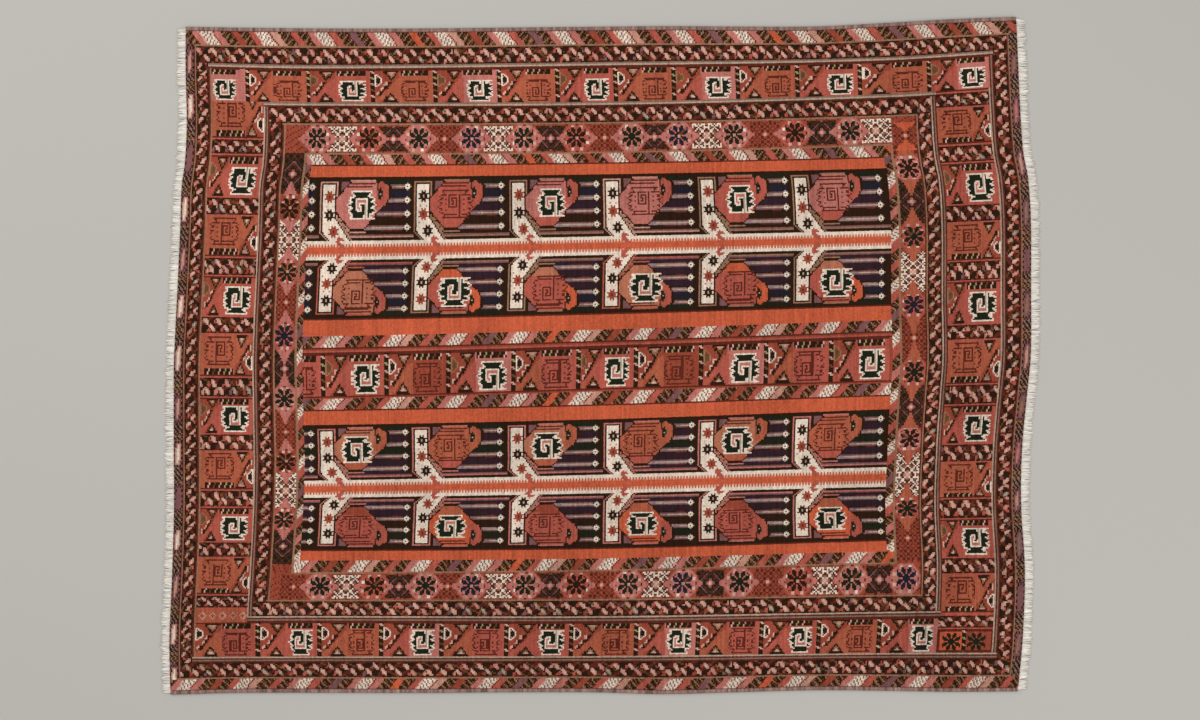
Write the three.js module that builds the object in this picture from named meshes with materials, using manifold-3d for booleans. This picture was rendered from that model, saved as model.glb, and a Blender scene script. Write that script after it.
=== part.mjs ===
import * as THREE from 'three';
import { mergeVertices } from 'three/addons/utils/BufferGeometryUtils.js';
import Module from 'manifold-3d';

const wasm = await Module();
wasm.setup();

// A hand-knotted Afghan door rug, lying flat with its pile up.
// Units are millimetres and +Z is up. X runs along the warps, from fringe to fringe, and
// Y across them, from the lower selvedge to the upper one. The underside is at z = 0.

// Sizes
const clothThickness = 7; // foundation and clipped pile together
const edgeDrop = 1.2; // how much lower the pile stands along its rim
const unevenness = 0.5; // how far the top rises and falls over the whole rug
const sewingGap = 0.3; // clearance between neighbouring pieces
const selvedgeWidth = 8;
const selvedgeHeight = 6;
const backingWidth = 3; // the last bound warps, where the fringe starts
const backingHeight = 3.2;
const strandsPerEnd = 130;
const strandWidth = 5.4;
const strandHeight = 2.8;
const strandReach = 13.5; // from the backing to the tip
const tipShare = 0.45; // how wide a strand's tip is, as a share of its root
const strandSway = 2.4; // how far neighbouring tips lean together
const strandRagged = 1.6; // how unequal the tips are in length

// How finely the cloth is divided
const columns = 36;
const rows = 28;

// The two fringed ends. part runs from the lower selvedge, 0, to the upper one, 1.
const endPlaces = [
  { part: 0.00, left: -797, right: 768 },
  { part: 0.08, left: -799, right: 777 },
  { part: 0.18, left: -794, right: 781 },
  { part: 0.28, left: -790.5, right: 774 },
  { part: 0.36, left: -791, right: 776 },
  { part: 0.44, left: -791, right: 785 },
  { part: 0.50, left: -790.5, right: 792 },
  { part: 0.60, left: -784.5, right: 792.5 },
  { part: 0.70, left: -779, right: 792 },
  { part: 0.76, left: -776.5, right: 787 },
  { part: 0.80, left: -770, right: 778 },
  { part: 0.86, left: -767, right: 772.5 },
  { part: 0.93, left: -769, right: 768.5 },
  { part: 1.00, left: -769, right: 765 },
];

// The two selvedges. part runs from the left fringe, 0, to the right one, 1.
const sidePlaces = [
  { part: 0.00, lower: -628, upper: 607 },
  { part: 0.08, lower: -624.7, upper: 605 },
  { part: 0.20, lower: -624.5, upper: 603.7 },
  { part: 0.30, lower: -624.8, upper: 604 },
  { part: 0.40, lower: -623.6, upper: 605.6 },
  { part: 0.50, lower: -623.7, upper: 607 },
  { part: 0.58, lower: -627, upper: 608 },
  { part: 0.66, lower: -624, upper: 607.3 },
  { part: 0.76, lower: -619.8, upper: 607.5 },
  { part: 0.85, lower: -621, upper: 614.5 },
  { part: 0.92, lower: -622.8, upper: 620.7 },
  { part: 1.00, lower: -622, upper: 625.3 },
];

// A smooth value between the rows of a table
function along(table, column, part) {
  let i = 0;
  while (i < table.length - 2 && part > table[i + 1].part) i += 1;
  const before = table[Math.max(i - 1, 0)];
  const start = table[i];
  const end = table[i + 1];
  const after = table[Math.min(i + 2, table.length - 1)];
  const span = end.part - start.part;
  const t = (part - start.part) / span;
  const slopeIn = (end[column] - before[column]) / (end.part - before.part);
  const slopeOut = (after[column] - start[column]) / (after.part - start.part);
  const rise = 1 - 3 * t * t + 2 * t * t * t;
  return (
    rise * start[column] +
    (1 - rise) * end[column] +
    (t - 2 * t * t + t * t * t) * span * slopeIn +
    (t * t * t - t * t) * span * slopeOut
  );
}

// Where a place on the cloth lies on the floor. u runs from left to right, v from lower to upper.
function place(u, v) {
  const left = along(endPlaces, 'left', v);
  const right = along(endPlaces, 'right', v);
  const lower = along(sidePlaces, 'lower', u);
  const upper = along(sidePlaces, 'upper', u);
  return new THREE.Vector2(left + (right - left) * u, lower + (upper - lower) * v);
}

// A repeatable scatter between -1 and 1
function scatter(seed) {
  const value = Math.sin(seed * 12.9898 + 4.1) * 43758.5453;
  return 2 * (value - Math.floor(value)) - 1;
}

// A closed surface over rings of points, each ring with the same number of points and
// running anticlockwise as seen from the far end
function skin(rings) {
  const size = rings[0].length;
  const positions = rings.flat().flatMap((point) => [point.x, point.y, point.z]);
  const faces = [];
  for (let ring = 0; ring < rings.length - 1; ring += 1) {
    for (let i = 0; i < size; i += 1) {
      const here = ring * size + i;
      const next = ring * size + ((i + 1) % size);
      faces.push(here, next, next + size, here, next + size, here + size);
    }
  }
  const last = (rings.length - 1) * size;
  for (let i = 1; i < size - 1; i += 1) {
    faces.push(0, i + 1, i);
    faces.push(last, last + i, last + i + 1);
  }
  const geometry = new THREE.BufferGeometry();
  geometry.setAttribute('position', new THREE.Float32BufferAttribute(positions, 3));
  geometry.setIndex(faces);
  return geometry;
}

// The cloth: an uneven top over a flat underside

const inset = (selvedgeWidth + sewingGap) / (sidePlaces[0].upper - sidePlaces[0].lower);
const rowPlaces = Array.from({ length: rows + 1 }, (_, j) => inset + ((1 - 2 * inset) * j) / rows);
const columnPlaces = Array.from({ length: columns + 1 }, (_, i) => i / columns);

function topHeight(point, onRim) {
  const wave =
    Math.sin(point.x / 171 + 0.6) * Math.cos(point.y / 143) +
    Math.sin(point.x / 67 - point.y / 89 + 1.9);
  return clothThickness + (unevenness * wave) / 2 - (onRim ? edgeDrop : 0);
}

function clothGeometry() {
  const positions = [];
  const faces = [];
  const across = columns + 1;
  rowPlaces.forEach((v, j) => {
    columnPlaces.forEach((u, i) => {
      const point = place(u, v);
      const onRim = i === 0 || j === 0 || i === columns || j === rows;
      positions.push(point.x, point.y, topHeight(point, onRim));
    });
  });
  for (let j = 0; j < rows; j += 1) {
    for (let i = 0; i < columns; i += 1) {
      const here = j * across + i;
      faces.push(here, here + 1, here + across + 1, here, here + across + 1, here + across);
    }
  }

  // The rim of the top, anticlockwise, and the same outline on the floor
  const rim = [];
  for (let i = 0; i < columns; i += 1) rim.push(i);
  for (let j = 0; j < rows; j += 1) rim.push(j * across + columns);
  for (let i = columns; i > 0; i -= 1) rim.push(rows * across + i);
  for (let j = rows; j > 0; j -= 1) rim.push(j * across);
  const firstBelow = positions.length / 3;
  const outline = rim.map((k) => new THREE.Vector2(positions[3 * k], positions[3 * k + 1]));
  outline.forEach((point) => positions.push(point.x, point.y, 0));
  rim.forEach((top, k) => {
    const next = (k + 1) % rim.length;
    const below = firstBelow + k;
    const nextBelow = firstBelow + next;
    faces.push(below, nextBelow, rim[next], below, rim[next], top);
  });
  THREE.ShapeUtils.triangulateShape(outline, []).forEach(([a, b, c]) => {
    faces.push(firstBelow + a, firstBelow + c, firstBelow + b);
  });

  const geometry = new THREE.BufferGeometry();
  geometry.setAttribute('position', new THREE.Float32BufferAttribute(positions, 3));
  geometry.setIndex(faces);
  return geometry;
}

// A selvedge: the outer warps overcast with wool into a round edge, flat where it lies.
// side is -1 for the lower selvedge and 1 for the upper one.
const selvedgeSection = [
  { across: -0.34, up: 0 },
  { across: 0.34, up: 0 },
  { across: 0.5, up: 0.42 },
  { across: 0.3, up: 0.92 },
  { across: -0.3, up: 0.92 },
  { across: -0.5, up: 0.42 },
];

function selvedgeGeometry(side) {
  const rings = columnPlaces.map((u) => {
    const edge = place(u, side < 0 ? 0 : 1);
    const middle = edge.y - (side * selvedgeWidth) / 2;
    return selvedgeSection.map(
      ({ across, up }) =>
        new THREE.Vector3(edge.x, middle + across * selvedgeWidth, up * selvedgeHeight),
    );
  });
  return skin(rings);
}

// A fringe: the warp ends, bound together at the edge of the knots and loose beyond it.
// side is -1 for the left fringe and 1 for the right one.

function solid(geometry) {
  const merged = mergeVertices(geometry);
  return new wasm.Manifold(
    new wasm.Mesh({
      numProp: 3,
      vertProperties: merged.attributes.position.array,
      triVerts: Uint32Array.from(merged.index.array),
    }),
  );
}

function backingGeometry(side) {
  const rings = [0, ...rowPlaces, 1].map((v) => {
    const edge = place(side < 0 ? 0 : 1, v);
    const inner = edge.x + side * sewingGap;
    const outer = inner + side * backingWidth;
    const near = Math.min(inner, outer);
    const far = Math.max(inner, outer);
    return [
      new THREE.Vector3(far, edge.y, 0),
      new THREE.Vector3(near, edge.y, 0),
      new THREE.Vector3(near, edge.y, backingHeight),
      new THREE.Vector3(far, edge.y, backingHeight),
    ];
  });
  return skin(rings);
}

function strandGeometry(side, index) {
  const v = (index + 0.5) / strandsPerEnd;
  const root = place(side < 0 ? 0 : 1, v);
  const seed = index + (side < 0 ? 0 : 500);
  const sway = strandSway * Math.sin(index * 0.37 + side) + 0.4 * scatter(seed);
  const reach = strandReach + strandRagged * scatter(seed + 0.5);
  const start = sewingGap + backingWidth / 2;
  const stations = [
    { out: start, shift: 0, share: 0.9 },
    { out: start + 0.55 * (reach + backingWidth / 2), shift: 0.3 * sway, share: 1 },
    { out: sewingGap + backingWidth + reach, shift: sway, share: tipShare },
  ];
  const rings = stations.map(({ out, shift, share }) => {
    const x = root.x + side * out;
    const y = root.y + shift;
    const half = (side * strandWidth * share) / 2;
    return [
      new THREE.Vector3(x, y - half, 0),
      new THREE.Vector3(x, y + half, 0),
      new THREE.Vector3(x, y, strandHeight * share),
    ];
  });
  return skin(rings);
}

function fringeGeometry(side) {
  let fringe = solid(backingGeometry(side));
  for (let index = 0; index < strandsPerEnd; index += 1) {
    fringe = fringe.add(solid(strandGeometry(side, index)));
  }
  const { vertProperties, triVerts } = fringe.getMesh();
  const geometry = new THREE.BufferGeometry();
  geometry.setAttribute('position', new THREE.BufferAttribute(vertProperties, 3));
  geometry.setIndex(new THREE.BufferAttribute(triVerts, 1));
  return geometry;
}

// Finishes

const pileWool = new THREE.MeshStandardMaterial({ color: 0x7a3a2c, roughness: 0.95, metalness: 0 });
const edgeWool = new THREE.MeshStandardMaterial({ color: 0x70413a, roughness: 0.95, metalness: 0 });
const warpWool = new THREE.MeshStandardMaterial({ color: 0xd2cfc2, roughness: 0.95, metalness: 0 });

function piece(name, geometry, material) {
  const mesh = new THREE.Mesh(geometry, material);
  mesh.name = name;
  return mesh;
}

// The rug, moved so that the middle of its box is over the origin

const rug = new THREE.Group();
rug.add(
  piece('knotted_cloth', clothGeometry(), pileWool),
  piece('selvedge_lower', selvedgeGeometry(-1), edgeWool),
  piece('selvedge_upper', selvedgeGeometry(1), edgeWool),
  piece('fringe_left', fringeGeometry(-1), warpWool),
  piece('fringe_right', fringeGeometry(1), warpWool),
);
const middle = new THREE.Box3().setFromObject(rug).getCenter(new THREE.Vector3());
rug.position.set(-middle.x, -middle.y, 0);

export default rug;
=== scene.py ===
import math

import bpy
import numpy as np
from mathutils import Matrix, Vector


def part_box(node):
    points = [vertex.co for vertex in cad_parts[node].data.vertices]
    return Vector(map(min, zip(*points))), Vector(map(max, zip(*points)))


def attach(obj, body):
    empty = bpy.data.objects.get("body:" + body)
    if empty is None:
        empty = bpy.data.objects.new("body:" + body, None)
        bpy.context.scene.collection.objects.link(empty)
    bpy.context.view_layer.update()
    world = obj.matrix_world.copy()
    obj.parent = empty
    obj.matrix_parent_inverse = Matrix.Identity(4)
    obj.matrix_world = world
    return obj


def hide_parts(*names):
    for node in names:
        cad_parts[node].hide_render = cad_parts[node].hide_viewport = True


# A hand-knotted door rug lying flat. Its knots are drawn on a chart, one letter of yarn to
# a knot, and the chart is then laid on the rug's uneven outline as clipped pile.

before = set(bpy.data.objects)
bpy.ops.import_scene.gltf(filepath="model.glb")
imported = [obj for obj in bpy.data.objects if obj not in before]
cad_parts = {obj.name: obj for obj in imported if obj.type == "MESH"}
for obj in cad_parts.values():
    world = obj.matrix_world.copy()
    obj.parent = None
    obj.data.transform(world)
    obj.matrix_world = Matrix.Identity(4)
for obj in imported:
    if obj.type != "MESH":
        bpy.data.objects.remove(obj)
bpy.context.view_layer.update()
mm = 0.001
print("frame loaded")


# The outline, in millimetres, as the solids have it

ends = {  # part runs from the lower selvedge to the upper one
    "part": (0.00, 0.08, 0.18, 0.28, 0.36, 0.44, 0.50, 0.60, 0.70, 0.76, 0.80, 0.86, 0.93, 1.00),
    "left": (
        -797, -799, -794, -790.5, -791, -791, -790.5, -784.5, -779, -776.5, -770, -767, -769, -769,
    ),
    "right": (768, 777, 781, 774, 776, 785, 792, 792.5, 792, 787, 778, 772.5, 768.5, 765),
}
sides = {  # part runs from the left fringe to the right one
    "part": (0.00, 0.08, 0.20, 0.30, 0.40, 0.50, 0.58, 0.66, 0.76, 0.85, 0.92, 1.00),
    "lower": (
        -628, -624.7, -624.5, -624.8, -623.6, -623.7, -627, -624, -619.8, -621, -622.8, -622,
    ),
    "upper": (607, 605, 603.7, 604, 605.6, 607, 608, 607.3, 607.5, 614.5, 620.7, 625.3),
}
cloth = {
    "thickness": 7,  # foundation and pile together
    "edgeDrop": 1.2,  # how much lower the pile stands along its rim
    "unevenness": 0.5,
    "waves": (171, 143, 67, 89),  # how long the unevenness is each way
    "selvedgeWidth": 8,
    "sewingGap": 0.3,
    "foundation": 2.4,  # thickness under the pile
    "knotScatter": 0.32,  # how far a knot's corners stray sideways
    "tuftScatter": 0.34,  # how unequal the clipped tufts are in height
    "darkWear": 0.5,  # dark yarns rot and wear lower than the others
    "sunk": 0.3,  # how deep the pile stands in the foundation
    "solidRows": 28,  # cells of the solid's own grid
    "solidColumns": 36,
    "levels": 241,  # heights at which the columns are laid out
}


def smooth(parts, values, at):
    parts, values = np.asarray(parts, float), np.asarray(values, float)
    i = np.clip(np.searchsorted(parts, at) - 1, 0, len(parts) - 2)
    before, after = np.maximum(i - 1, 0), np.minimum(i + 2, len(parts) - 1)
    span = parts[i + 1] - parts[i]
    t = (at - parts[i]) / span
    slopeIn = (values[i + 1] - values[before]) / (parts[i + 1] - parts[before])
    slopeOut = (values[after] - values[i]) / (parts[after] - parts[i])
    rise = 1 - 3 * t**2 + 2 * t**3
    bend = (t - 2 * t**2 + t**3) * span * slopeIn + (t**3 - t**2) * span * slopeOut
    return rise * values[i] + (1 - rise) * values[i + 1] + bend


def end(side, v):
    return smooth(ends["part"], ends[side], v)


def edge(side, u):
    return smooth(sides["part"], sides[side], u)


def place(u, v):
    x = end("left", v) * (1 - u) + end("right", v) * u
    y = edge("lower", u) * (1 - v) + edge("upper", u) * v
    return x, y


inset = (cloth["selvedgeWidth"] + cloth["sewingGap"]) / (sides["upper"][0] - sides["lower"][0])
solidRows, solidColumns = cloth["solidRows"], cloth["solidColumns"]
cadRows = inset + (1 - 2 * inset) * np.arange(solidRows + 1) / solidRows
cadColumns = np.arange(solidColumns + 1) / solidColumns
clothLow = np.array(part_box("knotted_cloth")[0][:2]) / mm
rimLow = (end("left", cadRows).min(), place(cadColumns, inset)[1].min())
shift = clothLow - rimLow  # from the outline's own middle to the frame's


def topHeight(x, y):
    a, b, c, d = cloth["waves"]
    wave = np.sin(x / a + 0.6) * np.cos(y / b) + np.sin(x / c - y / d + 1.9)
    return cloth["thickness"] + cloth["unevenness"] * wave / 2


# The camera looks straight down

camera = {
    "pixels": 1200,  # the picture's width
    "pixel": 1.85,  # millimetres of floor in one pixel
    "middle": (-3.7, -9.25),  # what lies under the picture's middle
    "lens": 60,
    "sensor": 36,
}
lens = bpy.data.cameras.new("camera")
lens.lens, lens.sensor_width = camera["lens"], camera["sensor"]
eye = bpy.data.objects.new("camera", lens)
bpy.context.collection.objects.link(eye)
pictureWidth = camera["pixels"] * camera["pixel"] * mm
eye.location = (
    (camera["middle"][0] + shift[0]) * mm,
    (camera["middle"][1] + shift[1]) * mm,
    pictureWidth * camera["lens"] / camera["sensor"],
)
bpy.context.scene.camera = eye
bpy.context.scene.view_settings.view_transform = "Standard"
print("camera set")


# The bands of the design, each with its name and its width in knots. Then comes where an
# upright band starts, in millimetres from the left pile edge, or from the right one if it is
# below zero, and for a level band its upper edge at five stations from left to right. A band
# with None lies evenly between its neighbours.

columnBands = [
    ("outerLeft", 6, 0), ("ruleLeft", 2, 15.5), ("leafLeft", 8, 19.5), ("guardLeft", 2, None),
    ("tileLeft", 38, 48), ("innerGuardLeft", 4, 143.5), ("innerLeafLeft", 8, 153.5),
    ("innerRuleLeft", 2, 178), ("starLeft", 14, 184), ("starRuleLeft", 1, 220.5),
    ("innerBarberLeft", 5, 224.5), ("field", 390, 235), ("innerBarberRight", 5, -256),
    ("starRuleRight", 1, -242), ("starRight", 16, -238), ("innerRuleRight", 2, -194),
    ("innerLeafRight", 10, -189), ("innerGuardRight", 4, -163.7), ("tileRight", 38, -153.5),
    ("guardRight", 4, -56), ("leafRight", 9, -45.7), ("ruleRight", 2, -20),
    ("outerRight", 6, -16),
]
stations = (0, 0.16, 0.505, 0.84, 1)
rowBands = [
    ("outerTop", 8, None), ("ruleTop", 1, None), ("leafTop", 10, None), ("guardTop", 3, None),
    ("tileTop", 27, (531, 526, 532, 541, 557)),
    ("innerGuardTop", 3, (470, 466.6, 468, 481.6, 497.6)), ("innerLeafTop", 10, None),
    ("innerRuleTop", 1, None), ("starTop", 18, (428, 424.6, 427.3, 439.4, 453)),
    ("starRuleTop", 1, (376.5, 373, 375.5, 389.8, 403)), ("innerBarberTop", 6, None),
    ("stripeOne", 8, (354, 351.5, 355.8, 366.3, 379)),
    ("rowOne", 42, (331, 328.4, 333.9, 345, 357)),
    ("stemOne", 12, (212.8, 210, 219.2, 230.3, 240.5)),
    ("rowTwo", 42, (177.6, 174.8, 185, 197, 207)),
    ("stripeTwo", 11, (68.5, 66.6, 77.7, 93.4, 103.6)),
    ("barberTwo", 7, (35, 34.2, 47.2, 64.8, 74)), ("ruleTwo", 4, None),
    ("cross", 27, (2, 1, 14.8, 33.3, 42.5)), ("ruleThree", 2, (-76, -76.8, -61, -46.3, -39)),
    ("barberThree", 8, None), ("stripeThree", 10, (-101, -101.2, -90.7, -73, -65)),
    ("rowThree", 42, (-129.5, -129.5, -118.4, -100, -92.5)),
    ("stemTwo", 12, (-232, -232.2, -221, -207.2, -201.7)),
    ("rowFour", 42, (-263.6, -263.6, -255.3, -243.3, -238.7)),
    ("stripeFour", 8, (-359.8, -359.8, -355.8, -341, -336.7)),
    ("innerBarberBottom", 7, (-379.8, -379.8, -375.6, -362.6, -359)),
    ("starRuleBottom", 1, None), ("starBottom", 18, (-404.2, -404.2, -399, -385.7, -383)),
    ("innerRuleBottom", 1, (-452.3, -452.3, -450.5, -443, -440.3)),
    ("innerLeafBottom", 10, None), ("innerGuardBottom", 4, None),
    ("tileBottom", 27, (-495, -493, -494, -485.6, -483)),
    ("guardBottom", 4, (-557.8, -556.9, -556, -550.4, -549.5)), ("leafBottom", 10, None),
    ("ruleBottom", 1, None), ("outerBottom", 7, None),
]
bandDrift = {  # how much wider or narrower the side bands get from the lower to the upper end
    "part": (0, 0.14, 0.35, 0.57, 0.74, 1),
    "left": (1, 0.99, 1.03, 1, 1, 0.99),
    "right": (1, 1, 0.97, 1.01, 1.01, 1),
}


def spans(bands):
    found, count = {}, 0
    for name, knots, _ in bands:
        found[name] = (count, count + knots)
        count += knots
    return found, count


columnOf, columns = spans(columnBands)
rowOf, rows = spans(rowBands)


def columnEdges(v):
    # where every knot column starts, in millimetres, at height v on the rug
    left, right = end("left", v), end("right", v)
    knots, xs = [], []
    for name, _, inward in columnBands:
        if inward is None:
            continue
        side, base = ("left", left) if inward >= 0 else ("right", right)
        knots.append(columnOf[name][0])
        xs.append(base + inward * np.interp(v, bandDrift["part"], bandDrift[side]))
    return np.interp(np.arange(columns + 1), knots + [columns], xs + [right])


def rowEdges(u):
    # where every knot row starts, from the top down, at place u along the rug
    depth = cloth["selvedgeWidth"] + cloth["sewingGap"]
    placed = [(name, tops) for name, _, tops in rowBands if tops]
    knots = [0] + [rowOf[name][0] for name, _ in placed] + [rows]
    ys = [smooth(stations, tops, u) for _, tops in placed]
    ys = [edge("upper", u) - depth] + ys + [edge("lower", u) + depth]
    return np.interp(np.arange(rows + 1), knots, ys)


bandPlace = {  # where each band lies, as a part of the rug's height or length
    "tileTop": 0.91, "tileBottom": 0.09, "tileLeft": 0.05, "tileRight": 0.95, "cross": 0.48,
    "starTop": 0.82, "starBottom": 0.157, "starLeft": 0.135, "starRight": 0.858,
}


def columnAt(name, x):
    # the knot column at x millimetres along a level band
    return int(round(np.interp(x, columnEdges(bandPlace[name]), np.arange(columns + 1))))


def rowAt(name, y):
    # the knot row at y millimetres on an upright band
    return int(round(np.interp(-y, -rowEdges(bandPlace[name]), np.arange(rows + 1))))


# Drawing on a chart. Every letter is a yarn, and a dot leaves what is there.

yarns = {  # colours from 0 to 255
    "k": (44, 26, 15),  # brown-black
    "n": (47, 30, 37),  # navy gone purple
    "v": (33, 31, 41),  # navy
    "g": (30, 33, 21),  # green-black
    "d": (90, 38, 27),  # dark brown-red
    "b": (103, 66, 40),  # olive brown
    "r": (144, 67, 49),  # brick red
    "o": (188, 87, 57),  # orange red
    "q": (164, 86, 62),  # duller orange red
    "s": (166, 82, 68),  # salmon red
    "u": (170, 104, 79),  # dull orange
    "p": (177, 106, 96),  # rose
    "m": (118, 78, 78),  # mauve
    "j": (142, 116, 116),  # grey lavender
    "h": (130, 101, 88),  # mouse grey
    "t": (142, 104, 80),  # tan
    "e": (168, 148, 128),  # grey cream
    "a": (184, 134, 116),  # dull cream pink
    "c": (202, 157, 140),  # cream pink
    "w": (219, 201, 183),  # ivory
    "y": (150, 140, 92),  # pale yellow green
}
darkYarns = "kngv"


def cells(width, height, yarn):
    return np.full((height, width), yarn)


def fill(art, x0, y0, x1, y1, yarn):
    art[max(round(y0), 0) : max(round(y1), 0), max(round(x0), 0) : max(round(x1), 0)] = yarn


def area(art, points, yarn):
    height, width = art.shape
    y, x = np.mgrid[0:height, 0:width] + 0.5
    inside = np.zeros(art.shape, bool)
    for (x0, y0), (x1, y1) in zip(points, points[1:] + points[:1]):
        if y0 != y1:
            crosses = (y0 > y) != (y1 > y)
            inside ^= crosses & (x < (x1 - x0) * (y - y0) / (y1 - y0) + x0)
    art[inside] = yarn


def stroke(art, x0, y0, x1, y1, yarn, width=1.2):
    length = math.hypot(x1 - x0, y1 - y0)
    dx, dy = (y1 - y0) / length * width / 2, (x0 - x1) / length * width / 2
    oneSide = [(x0 + dx, y0 + dy), (x1 + dx, y1 + dy)]
    otherSide = [(x1 - dx, y1 - dy), (x0 - dx, y0 - dy)]
    area(art, oneSide + otherSide, yarn)


def stamp(art, x, y, motif, dyes=None):
    x, y = round(x), round(y)
    height, width = motif.shape
    top, left = max(y, 0), max(x, 0)
    bottom, right = min(y + height, art.shape[0]), min(x + width, art.shape[1])
    if bottom <= top or right <= left:
        return
    part = motif[top - y : bottom - y, left - x : right - x]
    if dyes:
        part = np.vectorize(lambda letter: dyes.get(letter, letter), otypes=["<U1"])(part)
    shown = part != "."
    art[top:bottom, left:right][shown] = part[shown]


def dot(art, x, y, reach, yarn):
    # a small square round a place
    fill(art, x - reach, y - reach, x + reach, y + reach, yarn)


def diamond(art, x, y, reach, yarn):
    area(art, [(x - reach, y), (x, y - reach), (x + reach, y), (x, y + reach)], yarn)


def charted(text):
    # a motif as a letter a knot
    return np.array([list(line) for line in text.split()])


def mirrored(text, shared=0):
    # a motif whose lower half repeats the upper one, with any middle rows shared
    upper = charted(text)
    return np.concatenate([upper, upper[::-1][shared:]])


def fit(art, width, height):
    # the same drawing in more or fewer knots
    down = (np.arange(height) + 0.5) * art.shape[0] / height
    across = (np.arange(width) + 0.5) * art.shape[1] / width
    return art[np.ix_(down.astype(int), across.astype(int))]


def fitLines(art, width, height):
    # as above for a drawing in lines, none of which is lost where knots are fewer
    wide, tall = max(width, art.shape[1]), max(height, art.shape[0])
    larger = fit(art, wide, tall)
    drawn = cells(width, height, ".")
    y, x = np.nonzero(larger != ".")
    drawn[y * height // tall, x * width // wide] = larger[y, x]
    return drawn


# Motifs. In the medallion W is the outline, K the body, P the hook and T the stem.

medallion = charted("""
...WWWWWWWWWWWWWW...
...WKKKKKKKKKKKKW...
....WKKKKKKKKKKW....
....WWKKKKKKKKWW....
..WWWKKKKKKKKKKWWW..
..WKKKWWWWWWWWKKKKW.
.WWKKKWPPPPPPWKKKWW.
..WWKKWPPPPPPWKKWW..
.WWKKKWPWWWWTWKKKKW.
.WKKKKWPWKKWTWKKKKKW
WKKKKKWPWKKKTWKKKKKW
.WWKKKWPWWKKTWKKKWW.
..WWKKWPPWKKTWKKWW..
.WWKKKWWPWKKTWKKKKW.
.WKKKKKWWWKKTWKKKKKW
.WWKKKKKKKKKTWKKKWW.
..WWKKKKKKKKTWKWWW..
...WKKKKKKKWTWKW....
..WWKKKKKKKWTWKWW...
..WWWWWWWWWWTWWWWWW.
""")
# The same in outline, D, on the leaf's own ground
linedMedallion = charted("""
...DDDDDDDDDDDDDDDDDD...
...D..............DD....
....D.............D.....
..DDDD.DDDDDD.D.DDDDDD..
.D.....D......D.......D.
..DD...D.DDDD.D.....DD..
.DD..D.D.D..D.D..D..DD..
D......D.DD.D.D........D
.DD....D..D.D.D.....DDD.
..D..D.D.DD.D.D..D...D..
.D.....D....D.D.......D.
D......DDDDDD.D........D
.DD...........D.....DD..
..D..D........D..D...D..
.D............D.......D.
..DD..........D.....DD..
....DDDDDDDDD.D.DDDD....
....D.........D....D....
...DDDDDDDDDDDDDDDDDD...
""")
medallionDyes = {"W": "w", "K": "g", "P": "p", "T": "e", "D": "d"}


def medallionIn(width, height, dark, flipped):
    # one of the two medallions, in as many knots as it is given
    drawn, fitted = (medallion, fit) if dark else (linedMedallion, fitLines)
    return fitted(drawn[::-1] if flipped else drawn, width, height)


halfFlower = mirrored("""
wwp..
wkwp.
wpkwp
wkkkw
wkkkw
""")
mutedFlower = {"w": "t", "p": "r", "k": "b"}
flower = mirrored("""
...GG...GG...
...GGG.GGG...
G..GGG.GGG..G
GGG.GG.GG.GGG
GGGG.GGG.GGGG
.GGGGGGGGGGG.
....GGGGG....
""", 1)
star = mirrored("""
..S.S..
..SSS..
SSSSSSS
.SSCSS.
""")
starDyes = {"r": {"S": "r", "C": "d"}, "k": {"S": "k", "C": "e"}}
ring = mirrored("""
..e..
.www.
ewkwe
""", 1)


def leafBand(length, height, seed):
    # small leaves that lean in turn to one side and the other, high and low in the band
    choose = np.random.default_rng(seed)
    tall, spare, spacing = 10, 10, 2.5
    y, x = np.mgrid[0:tall, 0 : length + spare] + 0.5
    drawn = cells(length + spare, tall, "k")
    drawn[(x + 1.7 * y) % 13 < 4] = "d"
    drawn[(x - 1.9 * y) % 17 < 2] = "b"
    spots = ((3.1, 1, "aaaaapt"), (7.4, -1, "dsrpsm"), (6.7, 1, "aaaaaph"), (2.5, -1, "rspdsm"))
    for n in range(int((length + spare) / spacing) + 3):
        middleY, lean, base = spots[n % 4]
        here = choose.choice(list(base))
        fromX = x - n * spacing - choose.uniform(-0.5, 0.5)
        fromY = y - middleY - choose.uniform(-0.3, 0.3)
        along = (fromX * lean * 0.66 + fromY * 0.75) / (2.9 if n % 2 == 0 else 2.3)
        aside = (fromX * 0.75 - fromY * lean * 0.66) / (1.3 if n % 2 == 0 else 1.1)
        size = np.hypot(along, aside)
        drawn[(size < 1.3) & (drawn != "d")] = "k"
        drawn[size < 1] = here
        if here in "ahtp":
            drawn[size < 0.66] = {"a": "c", "p": "a", "h": "e", "t": "a"}[here]
    start = int(choose.integers(0, spare - 1))
    return fit(drawn[:, start : start + length], length, height)


def barberBand(length, height, lean, blocks, shiftBy=0):
    # slanting blocks, each with its yarns in turn and its width in knots. In place of a yarn,
    # z is ivory zigzag and x dark hatching.
    y, x = np.mgrid[0:height, 0:length]
    period = sum(width for _, width in blocks)
    place = x - lean * y * 0.85 + shiftBy
    turn, along = (place // period).astype(int), place % period
    strokes = (x + lean * y * 0.6) % 2.6
    coarse = (x + lean * y * 0.9) % 5.2
    drawn = cells(length, height, "d")
    start = 0
    for kinds, width in blocks:
        for n, kind in enumerate(kinds):
            here = (along >= start) & (along < start + width) & (turn % len(kinds) == n)
            rim = here & ((along < start + 1.1) | (along > start + width - 1.1))
            if kind == "z":
                drawn[here] = "h"
                drawn[here & (strokes < 1.6)] = "w"
                drawn[rim] = "c"
            elif kind == "x":
                drawn[here] = "k"
                drawn[here & (strokes < 0.8)] = "b"
                drawn[here & (coarse < 1.1)] = "t"
            else:
                drawn[here] = kind
                drawn[here & (along < start + 0.9)] = "d"
        start += width
    return drawn


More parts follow.
